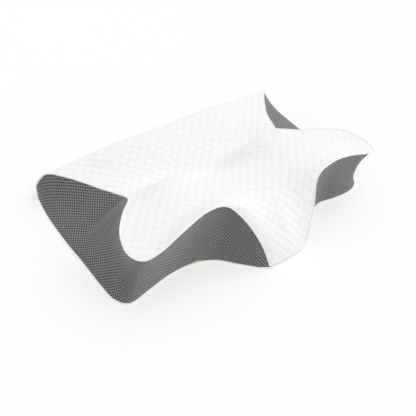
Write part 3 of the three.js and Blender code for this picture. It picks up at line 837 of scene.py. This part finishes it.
def finish_node(node, material, bevel=0.0):
    """Gives a CAD node that stays its material, and softens its edges where a bevel is named."""
    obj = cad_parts[node]
    if not obj.material_slots:
        obj.data.materials.append(material)
    for place in obj.material_slots:
        place.material = material
    if bevel:
        soft = obj.modifiers.new("soft_edges", "BEVEL")
        soft.width = bevel
        soft.segments = 2
        soft.angle_limit = math.radians(40)


ZIP_REACH = 235 * MM             # no drift within this distance of the middle of the back
DRIFT_BLEND = 60 * MM            # and all of it this much further out


def past_the_zip(point):
    """No drift along the zip, and all of it at the band's two ends."""
    share = min(max((abs(point.x) - ZIP_REACH) / DRIFT_BLEND, 0), 1)
    return share * share * (3 - 2 * share)


# ---------------------------------------------------------------- zip and label
COIL_PITCH = 1.5 * MM
COIL_WIRE = 0.3 * MM             # radius
COIL_MARGIN = 0.4 * MM           # at each end of the coil
COIL_STEPS = 8                   # points on each turn
COIL_SIDES = 5
LABEL_ROWS = 26
LABEL_COLUMNS = 9
LABEL_THICK = 0.45 * MM


def build_coil(name, node, shift):
    """One half of the coil, a helix, shifted by this many turns along the zip."""
    low, high = (Vector(corner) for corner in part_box(node))
    middle = (low + high) / 2
    half = (high - low) / 2
    turns = round((high.x - low.x - 2 * COIL_MARGIN) / COIL_PITCH)
    t = np.arange(turns * COIL_STEPS + 1) / COIL_STEPS
    x = low.x + COIL_MARGIN + (t + shift) * COIL_PITCH
    x = np.minimum(x, high.x - COIL_MARGIN)
    y = middle.y + np.cos(2 * np.pi * t) * (half.y - COIL_WIRE)
    z = middle.z + np.sin(2 * np.pi * t) * (half.z - COIL_WIRE)
    path = np.column_stack([x, y, z])
    obj = new_object(name, tube(name, path, COIL_WIRE, COIL_SIDES), NYLON)
    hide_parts(node)


def build_label():
    """A blank satin ribbon, held at its top, that stands a little off the band and waves slightly."""
    low, high = (Vector(corner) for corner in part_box("care_label"))
    drop = np.linspace(0, 1, LABEL_ROWS)[:, None]
    across = np.linspace(-1, 1, LABEL_COLUMNS)[None, :]
    # The terms with a zero only spread a row or a column over the whole grid.
    x = (low.x + high.x) / 2 + across * (high.x - low.x) / 2 + 0 * drop
    z = high.z + (low.z - high.z) * drop + 0 * across
    lift = 1.6 * MM * np.sin(np.pi * drop * 0.55) ** 2 + 0.4 * MM * drop * across**2
    wave = 0.25 * MM * np.sin(3 * across + 4 * drop)**2 * drop
    y = low.y + 0.1 * MM + lift + wave
    face = np.stack([x, y + LABEL_THICK, z], axis=2)
    back = np.stack([x, y, z], axis=2)
    uv = np.stack([x, z], axis=2)
    mesh = shell("label_ribbon", face, back, uv)
    obj = new_object("label_ribbon", mesh, LABEL)
    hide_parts("care_label")


# ---------------------------------------------------------------- build the pillow
BAND_END = 15 * MM               # what lies this close to the band's ends is stretched outwards
fine_stations = np.linspace(0, LAST, 1500)
SEAMS = {side: rails(fine_stations, side)["seam"] for side in ("right", "left")}
FIELD_TREE, FIELD_MOVE = drift_field()
build_quilted_top()
build_sides()
build_piping()
build_base()
smoothed("foam_body", FOAM, 1, "foam_core", inset=2.5 * MM, base_gap=9 * MM)
smoothed("liner_skin", LINER, 1, "liner_top", inset=0.8 * MM, base_gap=6 * MM)
smoothed("liner_underside", LINER, 0, "liner_base", base_gap=6 * MM)
build_coil("coil_upper", "zip_coil_upper", 0.125)
build_coil("coil_lower", "zip_coil_lower", 0.375)
build_label()
band = smoothed("back_band", MESH, 0, "cover_back_band", weigh=past_the_zip)
for vertex in band.data.vertices:
    if abs(vertex.co.x) > BAND_HIGH[0] - BAND_END:
        vertex.co.x += math.copysign(BAND_REACH, vertex.co.x)
for tape in ("zip_tape_upper", "zip_tape_lower"):
    finish_node(tape, ZIP_TAPE)
for stop in ("zip_top_stop_upper", "zip_top_stop_lower", "zip_bottom_stop"):
    finish_node(stop, NICKEL, 0.15 * MM)
finish_node("zip_slider", NICKEL, 0.3 * MM)
finish_node("zip_pull", NICKEL, 0.25 * MM)

# ---------------------------------------------------------------- floor, light and camera
scene = bpy.context.scene
scene.view_settings.view_transform = "Standard"
# The floor is a wide, shallow bowl, given by the radius and height of its rings.
FLOOR_PROFILE = [(0.5, 0), (5, 0), (6, 0.12), (7, 0.55), (7.8, 1.3), (8.3, 2.4), (8.5, 3.8)]
FLOOR_SIDES = 96
FLOOR_DROP = 0.3 * MM            # the floor lies this far under the level that the pillow stands on
around = np.linspace(0, 2 * np.pi, FLOOR_SIDES, endpoint=False)
floor_points = [(r * math.cos(a), r * math.sin(a), h) for r, h in FLOOR_PROFILE for a in around]
floor_faces = [tuple(range(FLOOR_SIDES))]
for ring in range(len(FLOOR_PROFILE) - 1):
    inner = ring * FLOOR_SIDES
    outer = inner + FLOOR_SIDES
    for k in range(FLOOR_SIDES):
        after = (k + 1) % FLOOR_SIDES
        floor_faces.append((inner + k, outer + k, outer + after, inner + after))
floor_mesh = mesh_from("studio_floor", floor_points, floor_faces)
floor_obj = bpy.data.objects.new("studio_floor", floor_mesh)
scene.collection.objects.link(floor_obj)
floor_mesh.materials.append(plain_floor())
floor_obj.location.z = -FLOOR_DROP

world = bpy.data.worlds.new("studio")
scene.world = world
world.use_nodes = True
sky = world.node_tree.nodes["Background"]
sky.inputs["Color"].default_value = rgb(0.97, 0.985, 1.0)
sky.inputs["Strength"].default_value = 0.5

SUN_PLACE = Vector((0.66, -0.02, 1.0))    # the direction that the soft light comes from
sun_data = bpy.data.lights.new("overhead", "SUN")
sun_data.energy = 1.9
sun_data.angle = math.radians(75)
sun = bpy.data.objects.new("overhead", sun_data)
scene.collection.objects.link(sun)
sun.rotation_euler = SUN_PLACE.to_track_quat("Z", "Y").to_euler()

# The camera's place, turn and lens come from the same fit as the seam columns.
CAMERA_PLACE = Vector((-0.8854, -0.7064, 0.9956))
CAMERA_AZIMUTH = math.radians(-50.6)
CAMERA_ELEVATION = math.radians(42.3)
CAMERA_ROLL = math.radians(14.0)
camera_data = bpy.data.cameras.new("camera")
camera_data.lens = 65.51
camera_data.sensor_width = 36.0
camera = bpy.data.objects.new("camera", camera_data)
scene.collection.objects.link(camera)
level = math.cos(CAMERA_ELEVATION)
back = Vector((
    math.sin(CAMERA_AZIMUTH) * level,
    -math.cos(CAMERA_AZIMUTH) * level,
    math.sin(CAMERA_ELEVATION),
))
sideways = (-back).cross(Vector((0, 0, 1))).normalized()
upright = sideways.cross(-back)
right_axis = sideways * math.cos(CAMERA_ROLL) + upright * math.sin(CAMERA_ROLL)
up_axis = upright * math.cos(CAMERA_ROLL) - sideways * math.sin(CAMERA_ROLL)
turn = Matrix((right_axis, up_axis, back)).transposed()
camera.matrix_world = Matrix.Translation(CAMERA_PLACE) @ turn.to_4x4()
scene.camera = camera

bpy.context.view_layer.update()
